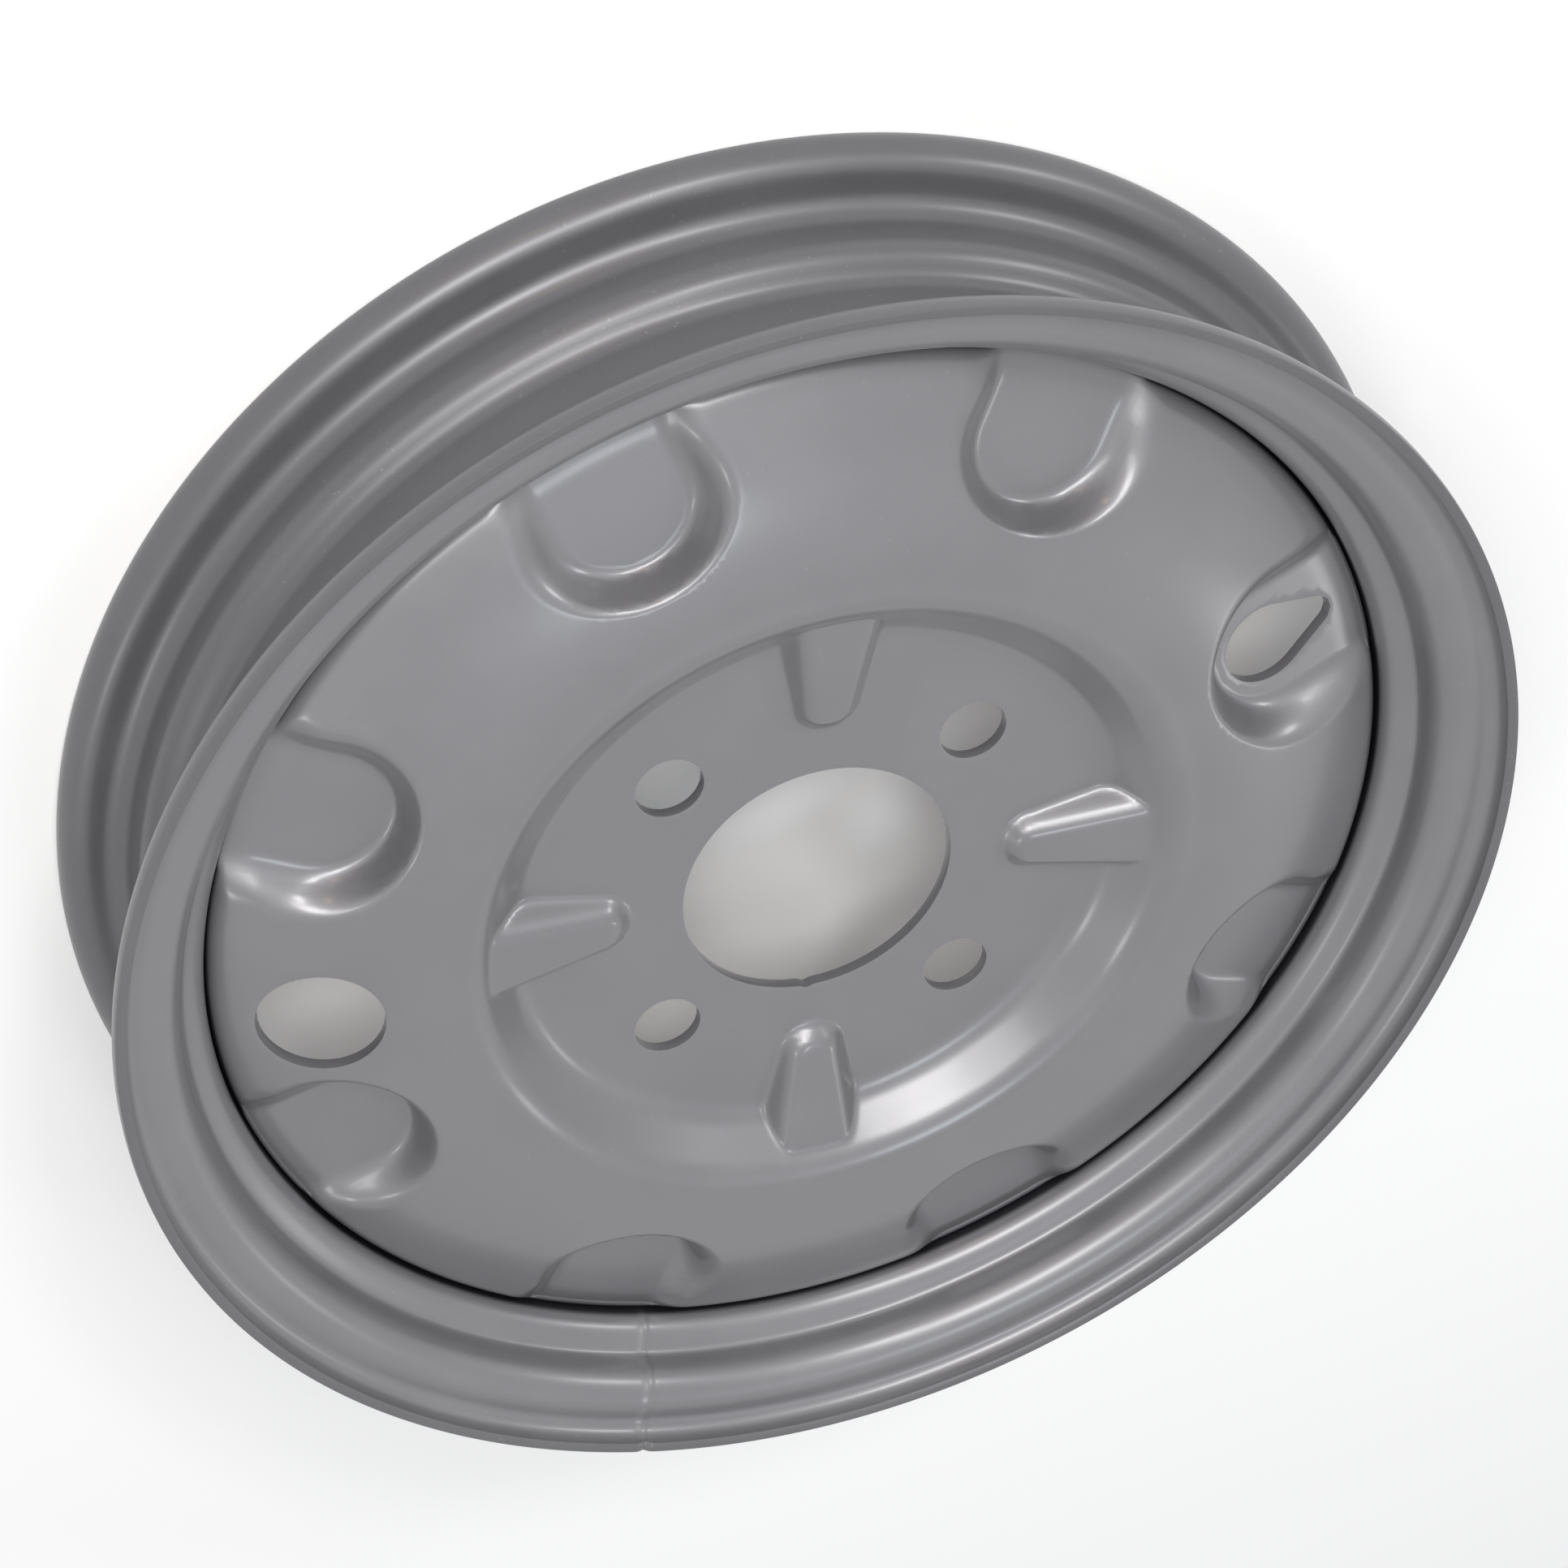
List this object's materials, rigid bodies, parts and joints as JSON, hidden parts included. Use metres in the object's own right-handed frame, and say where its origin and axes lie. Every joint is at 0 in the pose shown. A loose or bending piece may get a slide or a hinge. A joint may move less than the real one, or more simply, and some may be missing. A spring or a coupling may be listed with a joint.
{
  "type": "pressed steel wheel rim",
  "caption": "Narrow pressed steel wheel: a rolled drop-centre rim with a dished disc pressed in, ribbed round the bolt holes, with D-shaped pockets round the outer land.",
  "frame": {"origin": "on the wheel's axis, at the lowest edge of the inboard flange", "axes": "+Z along the wheel's axis towards the outboard side; +X through one bolt hole"},
  "size_m": [0.332, 0.332, 0.072],
  "materials": {
    "rim_paint": "semi-gloss silver-grey paint on rolled steel sheet",
    "disc_paint": "semi-gloss silver-grey paint on pressed steel sheet",
    "weld_paint": "silver-grey paint over weld metal"
  },
  "bodies": {
    "root": {"rim": "rim_paint", "disc": "disc_paint", "weld_beads": "weld_paint"}
  },
  "joints": []
}
